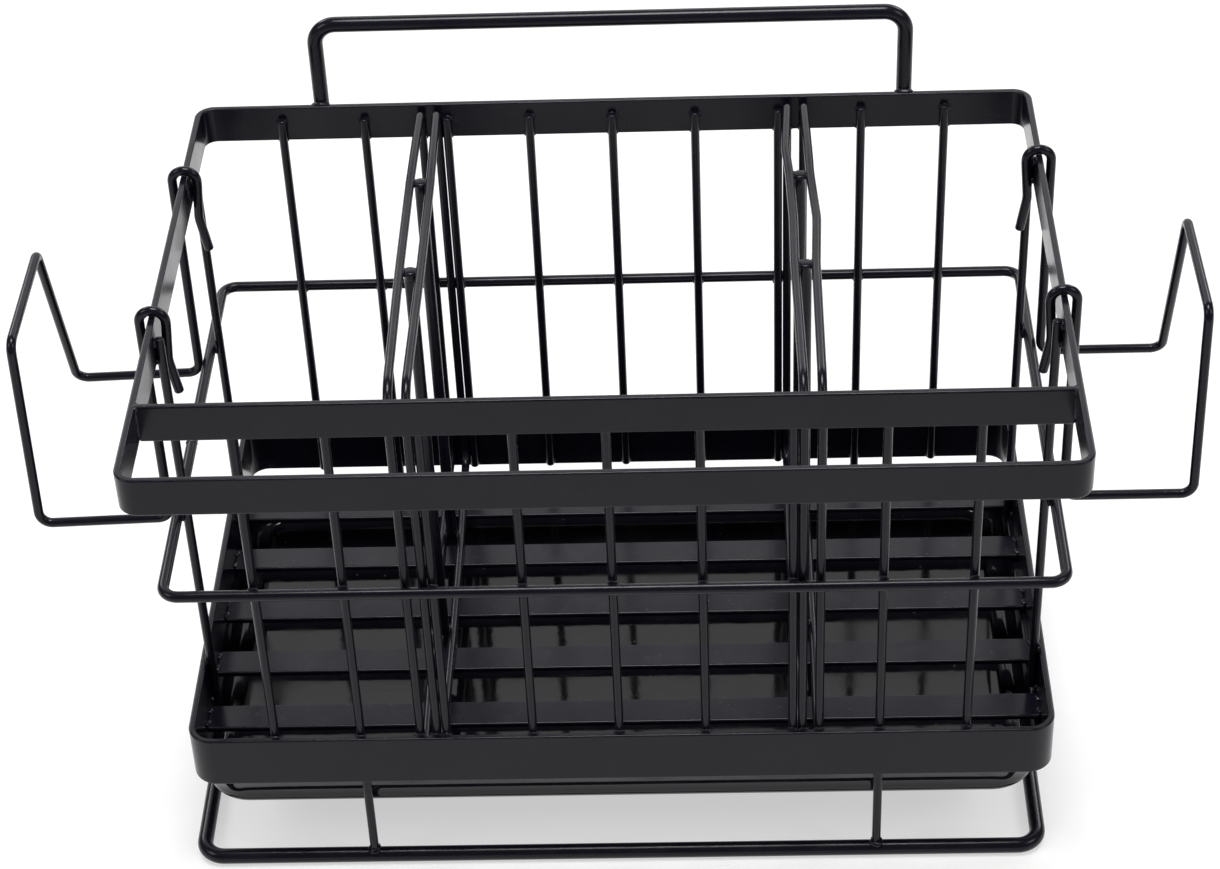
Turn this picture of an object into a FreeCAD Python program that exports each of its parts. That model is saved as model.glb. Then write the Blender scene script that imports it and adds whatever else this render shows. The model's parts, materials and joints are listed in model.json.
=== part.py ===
"""Dish drying rack: a three-compartment basket of flat bar and round wire on
a wire foot, with a narrow front pocket, a rear rail, a drip tray that slides
out to either side and two hangers that hook over the side bars.

Millimetres. +X right, +Y back, +Z up. The origin is on the table, in the
middle of the rack's footprint.
"""
import FreeCAD
import Part
import math
import os

V = FreeCAD.Vector

# ------------------------------------------------------------ driving sizes
# basket
frame_width = 270.0        # outer width over the side bars
frame_depth = 192.0        # front face of the pocket to back face of the rear bar
rim_height = 189.3         # top edge of the top band above the table
top_band_h = 12.5          # height of the flat bar round the top
bottom_band_h = 18.5       # height of the flat bar round the bottom
bottom_edge_height = 38.5  # lower edge of the bottom band above the table
bar_t = 2.0                # thickness of all flat bar
bar_round = 0.5            # rounding of the flat bar's long edges
top_corner_r = 6.0         # outer corner of the top band
bottom_corner_r = 8.0      # outer corner of the bottom band
pocket_gap = 31.0          # clear width of the front pocket
# upright wires
wire_d = 2.8               # uprights and dividers
upright_count = 9          # along the front and along the back
upright_margin = 27.6      # side face to the first upright's centre
upright_top_drop = 3.7     # top edge of the band to the wire's end
upright_foot_lift = 1.2    # lower edge of the band to the wire's end
side_front_gap = 3.6       # first slat's rear edge to the front side upright
side_rear_gap = 0.4        # rear side upright to the last slat's front edge
# floor slats
slat_count = 5
slat_w = 10.5
slat_t = 2.0
slat_lift = 0.8            # lower edge of the bottom band to the slat's underside
# dividers
divider_next_to = 6        # they stand just outside this upright, counted from 0
divider_clear = 0.2        # that upright to the divider's nearer loop
divider_loop_gap = 2.4     # between a divider's two loops at their front and rear ends
divider_bar_d = 3.8        # short bars that spread the two loops further back
divider_bite = 0.1         # each loop sinks this far into those bars
divider_drop = 1.6         # top edge of the rim to the top run's centre
divider_bend_front = 11.0  # bend radii, to the wire's centre
divider_bend_rear = 4.0
divider_bend_foot = 6.0
divider_bend_bow = 60.0    # the slight turns where a loop passes a bar
divider_bar_drop = 1.0     # top edge of the rim to the bars' ends
divider_bar_1_setback = 43.0   # inner face of the rear bar to the first bar
divider_bar_2_setback = 91.0   # and to the second
# hoop round the middle
hoop_d = 3.5
hoop_height = 117.3        # its centre above the table
hoop_bend = 5.0
# rear rail
rail_d = 5.0
rail_inset = 40.5          # side face to the rail leg's centre
rail_rise = 28.0           # rim to the top run's centre
rail_bend = 7.0
rail_foot_drop = 11.5      # rim to the lower end of its legs
# foot
foot_d = 5.0
foot_bend = 7.0
foot_side_inset = 0.4      # side face of the basket to the foot's side run centre
foot_shift = -1.9          # foot's middle to the right of the basket's middle
leg_uprights = (1, 7)      # these uprights, counted from 0, run on down to the foot
leg_bite = 0.3             # their ends sink this far into the foot
# drip tray and its rails
tray_rail_d = 2.6
tray_rail_inset = 17.0     # side face to the rail's end
tray_clear = 0.3           # tray to rail
tray_leg_clear = 0.5       # tray's rim to the legs
tray_top_clear = 0.5       # tray's rim to the bottom band
tray_side_reach = 1.0      # tray's rim beyond the side face
tray_shift = -1.2          # tray's middle to the right of the basket's middle
tray_depth = 18.0
tray_rim_t = 1.6
tray_rim_round = 0.64      # rounding of the rim's edges
tray_wall = 1.2
tray_floor = 1.4
tray_floor_rise = 5.3      # the floor's panel above the gutter round it
tray_gutter = 8.0          # outside of the wall to the panel
tray_panel_r = 6.0         # the panel's corners, seen from above
tray_corner_r = 15.0       # outer corner of the tray's wall
tray_foot_r = 5.0          # rounding under the tray's wall
# side hangers
hanger_d = 3.0
hanger_clear = 0.35        # hook to the top of the bar, and leg to hoop
hanger_upright_gap = 2.5   # front hook to the front side upright, wire to wire
hanger_rear_gap = 3.2      # rear hook to the rear side upright, wire to wire
hanger_drop = 76.5         # rim to the lower arm's centre
hanger_reach = 39.7        # leg's centre to the outer frame's centre
hanger_top_drop = 11.6     # rim to the outer top run's centre
hanger_lean = 21.0         # the rear outer upright leans forward by this much
hanger_front_lean = 6.0    # and the front one leans back
hanger_bend = 4.0
hanger_shift_left = 0.4    # each hanger sits this far behind the place those gaps give
hanger_shift_right = 2.0
hook_bulge = 1.4           # bar's face to the hook where the hook is widest
hook_pinch = 16.0          # rim to where the hook is narrowest, below the bar
hook_pinch_gap = 0.35      # bar's face to the hook there
hook_bend = 12.0           # bend radii where the hook narrows and flares
hook_shoulder = 1.2        # straight run between the hook's round top and its inward slope
hook_tail = 12.2           # tail's length below the pinch, measured straight down
hook_flare = 1.9           # and inward
bend_slack = 0.05          # straight wire kept between the bends of the hook's round top

# ---------------------------------------------------------- derived places
overall_depth = frame_depth + rail_d
y_front = -overall_depth / 2.0             # front face of the top band
y_back = y_front + frame_depth             # back face of the rear bar
x_side = frame_width / 2.0                 # outer face of the side bars
x_in = x_side - bar_t
y_back_in = y_back - bar_t
y_pocket = y_front + bar_t + pocket_gap    # front face of the pocket bar
y_pocket_in = y_pocket + bar_t
wire_r = wire_d / 2.0
z_rim = rim_height
z_band = bottom_edge_height
z_slat_top = z_band + slat_lift + slat_t

upright_step = (frame_width - 2.0 * upright_margin) / (upright_count - 1)
upright_x = [-x_side + upright_margin + upright_step * i for i in range(upright_count)]
y_upright_front = y_pocket_in + wire_r
y_upright_rear = y_back_in - wire_r
x_upright_side = x_in - wire_r

slat_step = (y_back_in - y_pocket_in) / (slat_count + 1)
slat_y = [y_pocket_in + slat_step * (i + 1) for i in range(slat_count)]
y_side_front = slat_y[0] + slat_w / 2.0 + side_front_gap + wire_r
y_side_rear = slat_y[-1] - slat_w / 2.0 - side_rear_gap - wire_r

hoop_x = x_upright_side + wire_r + hoop_d / 2.0
hoop_y0 = y_upright_front - wire_r - hoop_d / 2.0
hoop_y1 = y_upright_rear + wire_r + hoop_d / 2.0

loop_half_end = divider_loop_gap / 2.0 + wire_r                    # middle of the divider to a loop
loop_half_bar = divider_bar_d / 2.0 - divider_bite + wire_r
x_divider = upright_x[divider_next_to] + wire_r + divider_clear + wire_r + loop_half_end

foot_z = foot_d / 2.0
foot_x0 = foot_shift - x_side + foot_side_inset
foot_x1 = foot_shift + x_side - foot_side_inset

y_tray_rail_front = y_upright_front + wire_r + tray_rail_d / 2.0
y_tray_rail_rear = y_upright_rear - wire_r - tray_rail_d / 2.0

z_tray_top = z_band - tray_top_clear
z_tray_rim = z_tray_top - tray_rim_t
z_tray_bottom = z_tray_top - tray_depth
z_tray_rail = z_tray_rim - tray_clear - tray_rail_d / 2.0

hanger_r = hanger_d / 2.0
hook_y_front = y_side_front + wire_r + hanger_upright_gap + hanger_r
hook_y_rear = y_side_rear - wire_r - hanger_rear_gap - hanger_r


# ------------------------------------------------------------------ helpers
def torus_piece(start, tangent, centre, axis, angle, r):
    """A bend: a round section turned about the bend's axis."""
    edge = Part.makeCircle(r, start, tangent)
    return Part.Face(Part.Wire(edge)).revolve(centre, axis, math.degrees(angle))


def bent_wire(points, d, bend, closed=False):
    """Round wire through the points, with a tangent bend at each corner.

    bend is one radius, or one for each corner in order.
    """
    r = d / 2.0
    pts = [V(*p) for p in points]
    n = len(pts)
    corners = range(n) if closed else range(1, n - 1)
    bends = {}
    for k, i in enumerate(corners):
        p, a, b = pts[i], pts[i - 1], pts[(i + 1) % n]
        u = (p - a).normalize()
        w = (b - p).normalize()
        turn = u.getAngle(w)
        rad = bend[k] if isinstance(bend, (list, tuple)) else bend
        cut = rad * math.tan(turn / 2.0)
        axis = u.cross(w).normalize()
        s = p - u * cut
        centre = s + axis.cross(u) * rad
        bends[i] = (s, p + w * cut, u, centre, axis, turn)
    solids = []
    spans = range(n) if closed else range(n - 1)
    for i in spans:
        j = (i + 1) % n
        a = bends[i][1] if i in bends else pts[i]
        b = bends[j][0] if j in bends else pts[j]
        length = (b - a).Length
        if length > 1e-6:
            solids.append(Part.makeCylinder(r, length, a, b - a))
        if j in bends:
            s, _, u, centre, axis, turn = bends[j]
            solids.append(torus_piece(s, u, centre, axis, turn, r))
    out = solids[0]
    if len(solids) > 1:
        out = solids[0].multiFuse(solids[1:]).removeSplitter()
    return one_solid(out)


def one_solid(shape):
    return shape.Solids[0] if len(shape.Solids) == 1 else shape


def upright(x, y, z0, z1, d):
    return Part.makeCylinder(d / 2.0, z1 - z0, V(x, y, z0), V(0, 0, 1))


def rounded_prism(x0, x1, y0, y1, z0, z1, r):
    """A rectangle with rounded corners, drawn up from z0 to z1."""
    k = math.sqrt(0.5)
    p = [V(x0 + r, y0, z0), V(x1 - r, y0, z0), V(x1, y0 + r, z0), V(x1, y1 - r, z0),
         V(x1 - r, y1, z0), V(x0 + r, y1, z0), V(x0, y1 - r, z0), V(x0, y0 + r, z0)]
    mids = [V(x1 - r + r * k, y0 + r - r * k, z0), V(x1 - r + r * k, y1 - r + r * k, z0),
            V(x0 + r - r * k, y1 - r + r * k, z0), V(x0 + r - r * k, y0 + r - r * k, z0)]
    edges = [Part.LineSegment(p[0], p[1]).toShape(), Part.Arc(p[1], mids[0], p[2]).toShape(),
             Part.LineSegment(p[2], p[3]).toShape(), Part.Arc(p[3], mids[1], p[4]).toShape(),
             Part.LineSegment(p[4], p[5]).toShape(), Part.Arc(p[5], mids[2], p[6]).toShape(),
             Part.LineSegment(p[6], p[7]).toShape(), Part.Arc(p[7], mids[3], p[0]).toShape()]
    return Part.Face(Part.Wire(edges)).extrude(V(0, 0, z1 - z0))


def level_edges(shape, z):
    """The edges that lie wholly at height z."""
    return [e for e in shape.Edges
            if abs(e.BoundBox.ZMin - z) < 1e-4 and abs(e.BoundBox.ZMax - z) < 1e-4]


def band(x0, x1, y0, y1, z0, z1, r):
    """A closed ring of flat bar on edge, with its long edges rounded."""
    ring = rounded_prism(x0, x1, y0, y1, z0, z1, r).cut(
        rounded_prism(x0 + bar_t, x1 - bar_t, y0 + bar_t, y1 - bar_t, z0 - bar_t, z1 + bar_t, r - bar_t))
    ring = ring.makeFillet(bar_round, level_edges(ring, z0) + level_edges(ring, z1))
    return one_solid(ring)


def flat_bar(x0, x1, y0, y1, z0, z1):
    """A straight flat bar along X with its long edges rounded."""
    bar = Part.makeBox(x1 - x0, y1 - y0, z1 - z0, V(x0, y0, z0))
    long_edges = [e for e in bar.Edges if abs(e.BoundBox.XLength - (x1 - x0)) < 1e-4]
    return one_solid(bar.makeFillet(bar_round, long_edges))


# -------------------------------------------------------------------- parts
nodes = {}

# flat bar frames
nodes["top_band"] = band(-x_side, x_side, y_front, y_back, z_rim - top_band_h, z_rim, top_corner_r)
nodes["pocket_bar"] = flat_bar(-x_in, x_in, y_pocket, y_pocket_in, z_rim - top_band_h, z_rim)
nodes["bottom_band"] = band(-x_side, x_side, y_pocket, y_back, z_band, z_band + bottom_band_h,
                            bottom_corner_r)

# floor slats, evenly spaced from the front bar to the rear bar
for i, yc in enumerate(slat_y):
    nodes["floor_slat_%d" % (i + 1)] = flat_bar(
        -x_in, x_in, yc - slat_w / 2.0, yc + slat_w / 2.0, z_slat_top - slat_t, z_slat_top)

# upright wires, welded to the inner faces of both bands; two at the front and
# two at the back are longer and carry the basket on its foot
z_up0 = z_band + upright_foot_lift
z_up1 = z_rim - upright_top_drop
for i, x in enumerate(upright_x):
    z0 = foot_d - leg_bite if i in leg_uprights else z_up0
    nodes["front_upright_%d" % (i + 1)] = upright(x, y_upright_front, z0, z_up1, wire_d)
    nodes["rear_upright_%d" % (i + 1)] = upright(x, y_upright_rear, z0, z_up1, wire_d)
for side, s in (("left", -1.0), ("right", 1.0)):
    for end, y in (("front", y_side_front), ("rear", y_side_rear)):
        nodes["side_upright_%s_%s" % (side, end)] = upright(
            s * x_upright_side, y, z_up0, z_up1, wire_d)

# dividers: two closed loops of wire, with two bars held between that bow them out
z_loop0 = z_slat_top + wire_r
z_loop1 = z_rim - divider_drop
y_bar_rear = y_back_in - divider_bar_1_setback
y_bar_front = y_back_in - divider_bar_2_setback
for side, s in (("left", -1.0), ("right", 1.0)):
    for which, out in (("inner", -s), ("outer", s)):
        x_end = s * x_divider + out * loop_half_end
        x_bar = s * x_divider + out * loop_half_bar
        nodes["divider_%s_%s_loop" % (side, which)] = bent_wire(
            [(x_end, y_upright_front, z_loop0), (x_end, y_upright_front, z_loop1),
             (x_bar, y_bar_front, z_loop1), (x_bar, y_bar_rear, z_loop1),
             (x_end, y_upright_rear, z_loop1), (x_end, y_upright_rear, z_loop0),
             (x_bar, y_bar_rear, z_loop0), (x_bar, y_bar_front, z_loop0)],
            wire_d, [divider_bend_foot, divider_bend_front, divider_bend_bow, divider_bend_bow,
                     divider_bend_rear, divider_bend_foot, divider_bend_bow, divider_bend_bow],
            closed=True)
    for end, y in (("rear", y_bar_rear), ("front", y_bar_front)):
        nodes["divider_%s_%s_bar" % (side, end)] = upright(
            s * x_divider, y, z_slat_top, z_rim - divider_bar_drop, divider_bar_d)

# hoop round the outside of the uprights
nodes["middle_hoop"] = bent_wire(
    [(-hoop_x, hoop_y0, hoop_height), (hoop_x, hoop_y0, hoop_height),
     (hoop_x, hoop_y1, hoop_height), (-hoop_x, hoop_y1, hoop_height)],
    hoop_d, hoop_bend, closed=True)

# rear rail, welded to the back of the top band
rail_x = x_side - rail_inset
rail_y = y_back + rail_d / 2.0
nodes["rear_rail"] = bent_wire(
    [(-rail_x, rail_y, z_rim - rail_foot_drop), (-rail_x, rail_y, z_rim + rail_rise),
     (rail_x, rail_y, z_rim + rail_rise), (rail_x, rail_y, z_rim - rail_foot_drop)],
    rail_d, rail_bend)

# foot: a closed ring on the table under the four long uprights
nodes["foot_ring"] = bent_wire(
    [(foot_x0, y_upright_front, foot_z), (foot_x1, y_upright_front, foot_z),
     (foot_x1, y_upright_rear, foot_z), (foot_x0, y_upright_rear, foot_z)],
    foot_d, foot_bend, closed=True)

# rails under the tray's rim, welded to the four long uprights
for end, y in (("front", y_tray_rail_front), ("rear", y_tray_rail_rear)):
    half = x_side - tray_rail_inset
    nodes["tray_rail_%s" % end] = Part.makeCylinder(
        tray_rail_d / 2.0, 2.0 * half, V(-half, y, z_tray_rail), V(1, 0, 0))

# drip tray: open on top, with a rim that hangs on the rails
rim_x0, rim_x1 = tray_shift - x_side - tray_side_reach, tray_shift + x_side + tray_side_reach
rim_y0 = y_upright_front + wire_r + tray_leg_clear
rim_y1 = y_upright_rear - wire_r - tray_leg_clear
wall_y0 = y_tray_rail_front + tray_rail_d / 2.0 + tray_clear
wall_y1 = y_tray_rail_rear - tray_rail_d / 2.0 - tray_clear
lip = wall_y0 - rim_y0
wall_x0, wall_x1 = rim_x0 + lip, rim_x1 - lip
tub = rounded_prism(wall_x0, wall_x1, wall_y0, wall_y1, z_tray_bottom, z_tray_top, tray_corner_r)
tub = tub.makeFillet(tray_foot_r, level_edges(tub, z_tray_bottom))
rim = rounded_prism(rim_x0, rim_x1, rim_y0, rim_y1, z_tray_rim, z_tray_top, tray_corner_r + lip)
rim = rim.makeFillet(tray_rim_round, level_edges(rim, z_tray_rim) + level_edges(rim, z_tray_top))
hollow = rounded_prism(wall_x0 + tray_wall, wall_x1 - tray_wall, wall_y0 + tray_wall,
                       wall_y1 - tray_wall, z_tray_bottom + tray_floor, z_tray_top + tray_rim_t,
                       tray_corner_r - tray_wall)
hollow = hollow.makeFillet(tray_foot_r - tray_wall, level_edges(hollow, z_tray_bottom + tray_floor))
panel = rounded_prism(wall_x0 + tray_gutter, wall_x1 - tray_gutter, wall_y0 + tray_gutter,
                      wall_y1 - tray_gutter, z_tray_bottom, z_tray_bottom + tray_floor + tray_floor_rise,
                      tray_panel_r)
panel_inset = tray_gutter + tray_wall
recess = rounded_prism(wall_x0 + panel_inset, wall_x1 - panel_inset, wall_y0 + panel_inset,
                       wall_y1 - panel_inset, z_tray_bottom - tray_floor, z_tray_bottom + tray_floor_rise,
                       tray_panel_r - tray_wall)
nodes["drip_tray"] = one_solid(tub.fuse(rim).cut(hollow).fuse(panel).cut(recess).removeSplitter())

# side hangers: two hooks over the side bar, joined by a wire that drops
# outside the bar, runs out, comes up and crosses from one hook to the other
bar_mid = x_side - bar_t / 2.0
hook_half = bar_t / 2.0 + hook_bulge + hanger_r               # hook's half width at its widest
hook_in = bar_t / 2.0 + hook_pinch_gap + hanger_r             # and inward of the bar at its narrowest
leg_x = max(hoop_x + hoop_d / 2.0, x_side) + hanger_clear + hanger_r
out_x = leg_x + hanger_reach
z_hook = z_rim + hanger_clear + hanger_r                      # top of the hook's centreline
z_shoulder = z_hook - hook_half - hook_shoulder
z_pinch = z_rim - hook_pinch
z_arm = z_rim - hanger_drop
z_out = z_rim - hanger_top_drop
round_top = hook_half - bend_slack


def hook(s, y):
    """Corners of a hook on the side s, from the end of its tail over to its outer top."""
    return [(s * (bar_mid - hook_in - hook_flare), y, z_pinch - hook_tail),
            (s * (bar_mid - hook_in), y, z_pinch), (s * (bar_mid - hook_half), y, z_shoulder),
            (s * (bar_mid - hook_half), y, z_hook), (s * (bar_mid + hook_half), y, z_hook)]


for side, s, shift in (("left", -1.0, hanger_shift_left), ("right", 1.0, hanger_shift_right)):
    y_front_hook, y_rear_hook = hook_y_front + shift, hook_y_rear + shift
    path = (hook(s, y_front_hook)
            + [(s * leg_x, y_front_hook, z_arm), (s * out_x, y_front_hook, z_arm),
               (s * out_x, y_front_hook + hanger_front_lean, z_out),
               (s * out_x, y_rear_hook - hanger_lean, z_out),
               (s * out_x, y_rear_hook, z_arm), (s * leg_x, y_rear_hook, z_arm)]
            + hook(s, y_rear_hook)[::-1])
    bends = ([hook_bend] * 2 + [round_top] * 2 + [hanger_bend] * 6 + [round_top] * 2
             + [hook_bend] * 2)
    nodes["%s_hanger" % side] = bent_wire(path, hanger_d, bends)

# -------------------------------------------------------------------- write
os.makedirs("parts", exist_ok=True)
for name, shape in nodes.items():
    if len(shape.Solids) != 1 or not shape.isValid() or shape.Volume <= 0:
        raise RuntimeError("%s is not one sound solid" % name)
    shape.exportStep("parts/%s.step" % name)
print(len(nodes), "parts written")
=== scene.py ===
"""Dish drying rack: finished wires, bars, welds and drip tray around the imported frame.

Metres. +X right, +Y back, +Z up. Each piece stands in the place of one node of the
frame and takes its place from that node's box.
"""
import json
import math
import random

import bmesh
import bpy
import numpy as np
from bpy.props import FloatProperty, FloatVectorProperty, IntProperty, PointerProperty
from bpy.types import Operator, Panel, PropertyGroup
from mathutils import Matrix, Vector, noise


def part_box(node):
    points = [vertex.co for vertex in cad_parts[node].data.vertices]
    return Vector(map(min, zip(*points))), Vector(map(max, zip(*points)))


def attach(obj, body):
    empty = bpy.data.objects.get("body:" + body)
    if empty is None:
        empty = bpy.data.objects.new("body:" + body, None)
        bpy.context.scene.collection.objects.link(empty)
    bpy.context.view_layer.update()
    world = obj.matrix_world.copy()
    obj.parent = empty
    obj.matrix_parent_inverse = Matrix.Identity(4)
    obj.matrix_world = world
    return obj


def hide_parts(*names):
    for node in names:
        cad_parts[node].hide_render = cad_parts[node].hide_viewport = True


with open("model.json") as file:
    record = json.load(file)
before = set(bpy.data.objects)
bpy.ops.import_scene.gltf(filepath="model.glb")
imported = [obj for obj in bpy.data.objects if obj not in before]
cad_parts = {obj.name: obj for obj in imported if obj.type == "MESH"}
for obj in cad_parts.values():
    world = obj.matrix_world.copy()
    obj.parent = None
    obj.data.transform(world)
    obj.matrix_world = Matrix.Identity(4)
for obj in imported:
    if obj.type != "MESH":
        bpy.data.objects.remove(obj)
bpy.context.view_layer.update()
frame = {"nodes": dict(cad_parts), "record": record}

bl_info = {
    "name": "Dish Drying Rack",
    "version": (1, 0, 0),
    "blender": (4, 5, 0),
    "location": "View3D > Sidebar > Dish Rack",
    "description": "Builds a dish drying rack's finished wires, bars, welds, drip tray and stage",
    "category": "Add Mesh",
}

MM = 0.001
SIDES = (("left", -1.0), ("right", 1.0))
QUARTER = math.pi / 2.0
BODY_OF = {node: body for body, nodes in frame["record"]["behaviour"]["bodies"].items()
           for node in nodes}
SLOT_OF = {part["node"]: part["material_slot"] for part in frame["record"]["subparts"]}


# ------------------------------------------------------------ places from the frame
def middle(node):
    lo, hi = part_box(node)
    return (lo + hi) / 2.0


def extent(node):
    lo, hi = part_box(node)
    return hi - lo


def nodes_named(start):
    return sorted(name for name in frame["nodes"] if name.startswith(start))


WIRE_D = extent("front_upright_1").x
BAR_T = extent("pocket_bar").y
BAR_H = extent("pocket_bar").z


def mm(*values):
    """Millimetres as a tuple of metres."""
    return tuple(value * MM for value in values)


# ------------------------------------------------- steps and details not worth a setting
ARC_STEP = math.radians(7.5)       # turn between two rings of a bend
EDGE_STEPS = 5                     # steps over a bar's rounded edge
CUT_STEPS = 4                      # rings over a cropped end
SHEAR_STEPS = 6                    # rings over a bar's sheared end
SHEAR_THINNING = 0.6               # how much of an edge's rounding a sheared end has
BAR_SPACING = 8.0 * MM             # between two rings of a straight bar
FLAT_KEEP = 0.35                   # strip beside an edge that keeps the flats flat, in edge radii
CUT_DISH = (-0.05, 0.45)           # depth and width of a cut end's middle, in wire radii
LUMP_SIZE = 1.7                    # how fine a weld's unevenness is
LUMP_SEED = (3.1, 1.7, 0.9)        # how far one seed moves through the unevenness
WELD_RUB_AND_HIGHLIGHT = 0.15                    # share of the wear mask on weld metal, which also lightens it as a painted highlight
BAND_SEAM_PLACE = 0.31             # share of a band's length to its own weld
HOOP_SEAM_PLACE = 0.46             # the same for the hoop's side and the foot's back
FOOT_SEAM_PLACE = 0.58
SEAM_LENGTH = 0.9 * MM             # half the length of a ring's own weld
SEAM_LIFT, SEAM_DEPTH = 0.15, 0.95  # of the wire's radius, so that a weld stays off the table
# half sizes of the weld lumps
SLAT_WELD = mm(1.0, 1.5, 0.7)
SLAT_WELD_PLACES = (-0.27, 0.27)   # shares of the slat's width
SLAT_WELD_IN, SLAT_WELD_SINK = mm(0.2, 0.1)
POCKET_END_WELD = (*mm(0.8, 1.7), BAR_H * 0.43)
POCKET_TOP_WELD = mm(1.3, 1.9, 1.0)
POCKET_TOP_DROP = 0.9 * MM
# an upright's welds: shift from the level they sit at, and half length
UPRIGHT_WELDS = (mm(-1.6, 1.5), mm(0.6, 1.1), mm(0.0, 1.9), mm(-0.7, 1.3), mm(1.4, 1.2))
WELD_LEAST, WELD_SPREAD = 0.85, 0.3    # each is this share of that, plus up to the spread
SEED_SPAN, LOOP_SEED_SPAN = 50.0, 40.0  # range of the welds' random seeds
FOOT_WELD = mm(2.1, 2.4, 1.3)
FOOT_WELD_LIFT = 0.1 * MM
TRAY_RAIL_WELD = mm(2.0, 0.8, 1.5)
LOOP_TOP_WELD = mm(0.7, 1.9, 1.2)
LOOP_FOOT_WELD = mm(0.7, 1.8, 1.3)
LOOP_WELD_IN, LOOP_WELD_SINK, LOOP_WELD_LENGTH = mm(0.8, 0.2, 1.4)
# the right divider's sway: the inner loop's share, the run behind the rear bar, and its bends
INNER_SWAY, BACK_SWAY, BACK_SWAY_PLACE = 0.35, 1.1, 0.35
SWAY_BENDS = (0.4, 0.6)
REAR_RAIL_TOP_WELD = mm(3.0, 1.5, 1.1)
REAR_RAIL_SIDE_WELD = mm(2.4, 0.9, 3.4)
RAIL_TOP_DROP, RAIL_SIDE_DROP = 0.3 * MM, BAR_H * 0.55
LEG_SAG = 0.4                      # share of the hanger's sag at its leg
BEND_SLACK = 0.05 * MM             # straight wire left between the bends of a hook's top
# the tray's mesh and waves
TRAY_CORNER_STEPS, TRAY_SIDE_STEPS = 10, (10, 18)
UNDERSIDE_SHARES = (0.06, 0.3, 0.6, 0.85)
FLOOR_SHARES = (0.97, 0.93, 0.85, 0.72, 0.58, 0.44, 0.3, 0.16, 0.05)
RIM_ROUNDING = 0.45                # of the rim's thickness
# wear mask on the tray rim's rounded edge, which also paints a lighter highlight there
RIM_RUB_AND_HIGHLIGHT = 0.8
WALL_STEP = 0.04 * MM              # inset of the wall just under the rim
LEAST_CORNER = 1.0 * MM
# waves per metre, their seed, and how fast they grow inward from the panel's edge
WAVES, WAVE_SEED, WAVE_FADE = 16.0, 0.7, 6.0


# ------------------------------------------------------------------ sizes and colours
def distance(name, description, millimetres):
    return FloatProperty(name=name, description=description, default=millimetres * MM,
                         unit="LENGTH", subtype="DISTANCE")


def factor(name, description, default, least=0.0, most=1.0):
    return FloatProperty(name=name, description=description, default=default, min=least,
                         max=most, subtype="FACTOR")


def angle(name, description, degrees):
    return FloatProperty(name=name, description=description, default=math.radians(degrees),
                         unit="ROTATION", subtype="ANGLE")


def power(name, description, watts):
    return FloatProperty(name=name, description=description, default=watts, unit="POWER")


def tint(name, description, default):
    return FloatVectorProperty(name=name, description=description, default=default, size=3,
                               min=0.0, max=1.0, subtype="COLOR")


class WireSizes(PropertyGroup):
    sides: IntProperty(name="Section sides", description="Facets round a wire", default=28, min=12,
                       max=64)
    spacing: distance("Ring spacing", "Length of straight wire between two rings", 5.0)
    cut_share: factor("Cut rounding", "Rounding of a cut end, as a share of the wire's radius",
                      0.42, 0.05)
    cut_scatter: distance("Cut scatter", "How much shorter one upright may be cut than another",
                          0.7)


class WeldSizes(PropertyGroup):
    spread: distance("Weld spread", "How far weld metal shows beside a wire", 0.55)
    height: distance("Weld depth", "Thickness of weld metal in the crevice", 0.95)
    lumps: factor("Weld unevenness", "Share by which a weld's surface varies", 0.22, 0.0, 0.6)
    butt_swell: factor("Butt weld swelling", "How much thicker a ring is at its own joint", 0.10,
                       0.0, 0.5)


class BarSizes(PropertyGroup):
    edge_r: distance("Edge radius", "Rounding of the flat bar's long edges", 0.55)
    top_corner_r: distance("Top corner", "Outer corner radius of the top band", 6.0)
    bottom_corner_r: distance("Bottom corner", "Outer corner radius of the bottom band", 8.0)
    slat_corner_r: distance("Slat corner", "Rounding of a slat's sheared corners", 0.7)


class DividerSizes(PropertyGroup):
    front_bend: distance("Front bend", "Bend radius at a loop's front top corner", 11.0)
    rear_bend: distance("Rear bend", "Bend radius at a loop's rear top corner", 4.0)
    foot_bend: distance("Foot bend", "Bend radius at a loop's lower corners", 6.0)
    bow_bend: distance("Bow bend", "Radius of the slight turns along a loop", 45.0)
    sway: distance("Sway", "How far the right divider's top runs wander sideways", 1.1)
    head_flare: factor("Bar head", "How much wider a bar's pressed head is than the bar", 0.20,
                       0.0, 0.6)
    head_height: distance("Head height", "Height of a bar's pressed head", 1.7)


class RingSizes(PropertyGroup):
    hoop_bend: distance("Hoop bend", "Corner radius of the middle hoop", 5.0)
    foot_bend: distance("Foot bend", "Corner radius of the foot ring", 7.0)
    rail_bend: distance("Rail bend", "Corner radius of the rear rail", 7.0)


class HangerSizes(PropertyGroup):
    clearance: distance("Clearance", "Between the hanger and what it hooks over", 0.35)
    bend: distance("Frame bend", "Bend radius of the hanger's frame", 4.0)
    bulge: distance("Hook bulge", "Bar's face to the hook where the hook is widest", 1.4)
    pinch_gap: distance("Pinch gap", "Bar's face to the hook where it is narrowest", 0.35)
    pinch_drop: distance("Pinch drop", "Rim to where the hook is narrowest", 16.0)
    flare_bend: distance("Tail bend", "Bend radius where a hook narrows and flares", 12.0)
    shoulder: distance("Shoulder", "Straight run under the hook's round top", 1.2)
    flare: distance("Tail flare", "How far the tail turns inward", 1.9)
    tail: distance("Tail length", "Tail below the pinch, straight down", 12.2)
    lean: distance("Lean", "How far the rear outer wire leans forward", 21.0)
    front_lean: distance("Front lean", "How far the front outer wire leans back", 6.0)
    sag: distance("Sag", "How much lower the left hanger's outer wires hang", 2.4)
    spread: distance("Spread", "How much wider the left hanger stands out", 1.3)
    top_drop: distance("Top drop", "Rim to the outer top run's centre", 11.6)


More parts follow.
